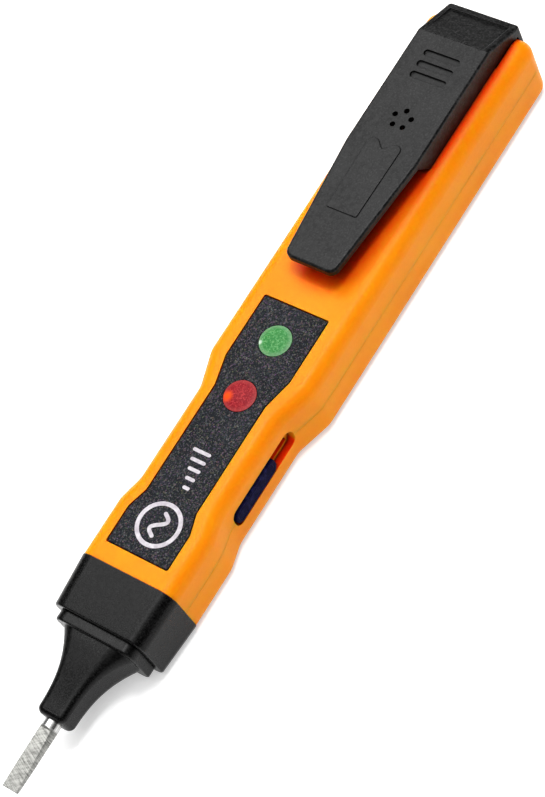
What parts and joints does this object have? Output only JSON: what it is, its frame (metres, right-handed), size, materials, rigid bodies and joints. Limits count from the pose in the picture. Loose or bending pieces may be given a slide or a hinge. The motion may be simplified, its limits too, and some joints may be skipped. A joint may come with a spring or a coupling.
{
  "type": "non contact voltage tester",
  "caption": "Pen-shaped non-contact voltage tester with a slotted steel test blade, two indicator windows, a side slide switch, and a slide-off battery cover with a pocket clip.",
  "frame": {"origin": "centre of the footprint on the flat back that the tester lies on", "axes": "+X from the blade tip to the rear end, +Z out of the label face, -Y to the switch side"},
  "size_m": [0.15, 0.0208, 0.0179],
  "materials": {
    "orange_plastic": "moulded, fine satin",
    "black_plastic": "moulded, fine spark-eroded grain",
    "label_film": "coarse speckled grain with light printing",
    "green_window": "translucent, tinted",
    "red_window": "translucent, tinted",
    "green_diode": "clear tinted resin",
    "red_diode": "clear tinted resin",
    "blade_steel": "cross-ground flats, bright round",
    "screw_steel": "dark plated",
    "tinned_metal": "tinned",
    "spring_brass": "bright strip",
    "cell_steel": "nickel plated",
    "board_laminate": "solder resist",
    "board_phenolic": "moulded phenolic",
    "knob_plastic": "moulded, slightly worn",
    "chip_resin": "epoxy resin",
    "resistor_body": "lacquered ceramic",
    "capacitor_ceramic": "fired ceramic"
  },
  "bodies": {
    "housing": {"front_shell": "orange_plastic", "back_shell": "orange_plastic", "label_plate": "label_film", "green_led_lens": "green_window", "red_led_lens": "red_window", "green_led": "green_diode", "red_led": "red_diode", "led_leads": "tinned_metal", "nose_collar": "black_plastic", "nose_cone": "black_plastic", "test_blade": "blade_steel", "blade_contact_leaf": "spring_brass", "circuit_board": "board_laminate", "switch_frame": "tinned_metal", "switch_base": "board_phenolic", "switch_terminals": "tinned_metal", "control_chip": "chip_resin", "safety_resistor": "resistor_body", "ceramic_capacitors": "capacitor_ceramic", "buzzer": "chip_resin", "buzzer_pins": "tinned_metal", "shell_screws": "screw_steel", "button_cells": "cell_steel", "battery_contact_plate": "tinned_metal", "battery_contact_leaf": "spring_brass"},
    "slider": {"switch_knob": "knob_plastic", "switch_lever": "board_phenolic"},
    "cover": {"battery_cover": "black_plastic"},
    "clip": {"clip_arm": "black_plastic"}
  },
  "joints": [
    {"name": "switch_slide", "type": "slide", "parent": "housing", "child": "slider", "axis": [1, 0, 0], "range_m": [0, 0.005]},
    {"name": "cover_slide", "type": "slide", "parent": "housing", "child": "cover", "axis": [1, 0, 0], "range_m": [0, 0.024]},
    {"name": "clip_flex", "type": "hinge", "parent": "cover", "child": "clip", "pos_m": [0.043, 0, 0.0177], "axis": [0, 1, 0], "range_deg": [0, 6], "stiffness_Nm_per_rad": 0.3}
  ]
}
